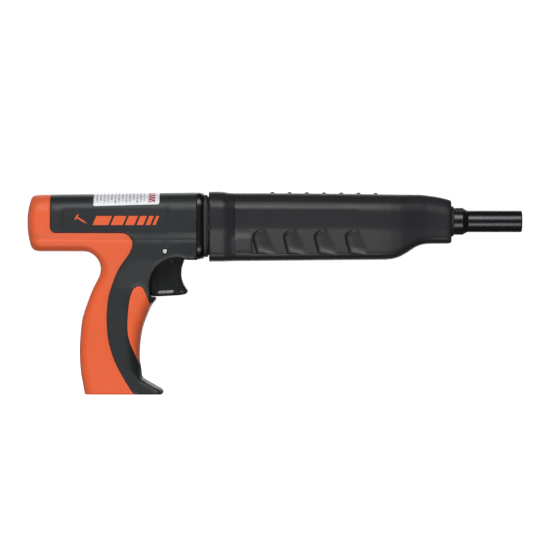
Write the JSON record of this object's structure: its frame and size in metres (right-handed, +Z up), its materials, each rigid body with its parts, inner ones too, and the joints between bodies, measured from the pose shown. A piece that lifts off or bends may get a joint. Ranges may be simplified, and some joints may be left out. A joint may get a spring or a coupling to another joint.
{
  "type": "powder-actuated nail gun",
  "caption": "Trigger-fired powder-actuated fastening tool with a sliding foregrip and barrel, a side loading port, a pistol grip and a long round muzzle.",
  "frame": {"origin": "on the plane of the grip's base, under the middle of the tool's length, on the left-right middle plane", "axes": "+X towards the muzzle along the bore, +Y towards the tool's left side, +Z up"},
  "size_m": [0.3946, 0.05, 0.1614],
  "materials": {
    "black_nylon": "fine moulded grain",
    "foregrip_nylon": "fine moulded grain",
    "orange_grip": "soft matt overmould",
    "gloss_black_plastic": "polished",
    "black_rubber": "matt",
    "buffer_rubber": "matt polyurethane",
    "label_vinyl": "satin printed vinyl",
    "black_steel": "black oxide, satin",
    "bright_steel": "turned, satin",
    "spring_steel": "drawn wire"
  },
  "bodies": {
    "receiver": {"handle_right": "black_nylon", "handle_left": "black_nylon", "rear_overmould_right": "orange_grip", "rear_overmould_left": "orange_grip", "front_overmould_right": "orange_grip", "front_overmould_left": "orange_grip", "receiver_tube": "black_steel", "receiver_front_ring": "black_steel", "bumper_ring": "black_rubber", "rear_plug": "bright_steel", "trigger_pin": "bright_steel", "sear_pin": "bright_steel", "trigger_spring": "spring_steel", "sear_spring": "spring_steel", "badge": "gloss_black_plastic", "label": "label_vinyl", "main_spring": "spring_steel", "pawl_spring": "spring_steel", "handle_screw_1": "bright_steel", "handle_screw_2": "bright_steel", "handle_screw_3": "bright_steel", "handle_screw_4": "bright_steel"},
    "foregrip": {"foregrip_right": "foregrip_nylon", "foregrip_left": "foregrip_nylon", "nose_bushing": "black_steel", "foregrip_screw_1": "bright_steel", "foregrip_screw_2": "bright_steel", "foregrip_screw_3": "bright_steel"},
    "barrel": {"barrel": "black_steel", "muzzle": "black_steel", "piston_buffer": "buffer_rubber", "muzzle_spring": "spring_steel"},
    "piston": {"piston": "bright_steel", "piston_ring": "spring_steel"},
    "breech_block": {"breech_block": "bright_steel", "breech_plug": "black_steel", "firing_pin_spring": "spring_steel"},
    "firing_pin": {"firing_pin": "bright_steel"},
    "trigger": {"trigger": "gloss_black_plastic"},
    "sear": {"sear": "black_steel"},
    "barrel_pawl": {"barrel_pawl": "bright_steel"}
  },
  "joints": [
    {"name": "foregrip_slide", "type": "slide", "parent": "receiver", "child": "foregrip", "axis": [1, 0, 0], "range_m": [0, 0.04]},
    {"name": "muzzle_press", "type": "slide", "parent": "foregrip", "child": "barrel", "axis": [1, 0, 0], "range_m": [-0.01, 0], "stiffness_N_per_m": 3000, "springref_m": 0.012, "deforming": ["muzzle_spring"]},
    {"name": "piston_slide", "type": "slide", "parent": "barrel", "child": "piston", "axis": [1, 0, 0], "range_m": [0, 0.082]},
    {"name": "breech_slide", "type": "slide", "parent": "receiver", "child": "breech_block", "axis": [1, 0, 0], "range_m": [-0.01, 0], "stiffness_N_per_m": 3000, "springref_m": 0.012, "deforming": ["main_spring"]},
    {"name": "firing_pin_slide", "type": "slide", "parent": "breech_block", "child": "firing_pin", "axis": [1, 0, 0], "range_m": [-0.008, 0], "stiffness_N_per_m": 800, "springref_m": 0.004, "deforming": ["firing_pin_spring"]},
    {"name": "trigger_pull", "type": "hinge", "parent": "receiver", "child": "trigger", "pos_m": [-0.0874, 0, 0.1139], "axis": [0, 1, 0], "range_deg": [0, 9], "stiffness_Nm_per_rad": 0.6, "springref_deg": -17.19},
    {"name": "sear_pivot", "type": "hinge", "parent": "receiver", "child": "sear", "pos_m": [-0.124, 0, 0.113], "axis": [0, 1, 0], "range_deg": [-9, 0], "stiffness_Nm_per_rad": 0.2, "springref_deg": 17.19},
    {"name": "pawl_slide", "type": "slide", "parent": "receiver", "child": "barrel_pawl", "axis": [0, 0, 1], "range_m": [-0.002, 0], "stiffness_N_per_m": 400, "springref_m": 0.003, "deforming": ["pawl_spring"]}
  ],
  "couplings": [
    {"joint": "breech_slide", "follows": "muzzle_press", "ratio": 1},
    {"joint": "sear_pivot", "follows": "trigger_pull", "ratio": -1}
  ]
}
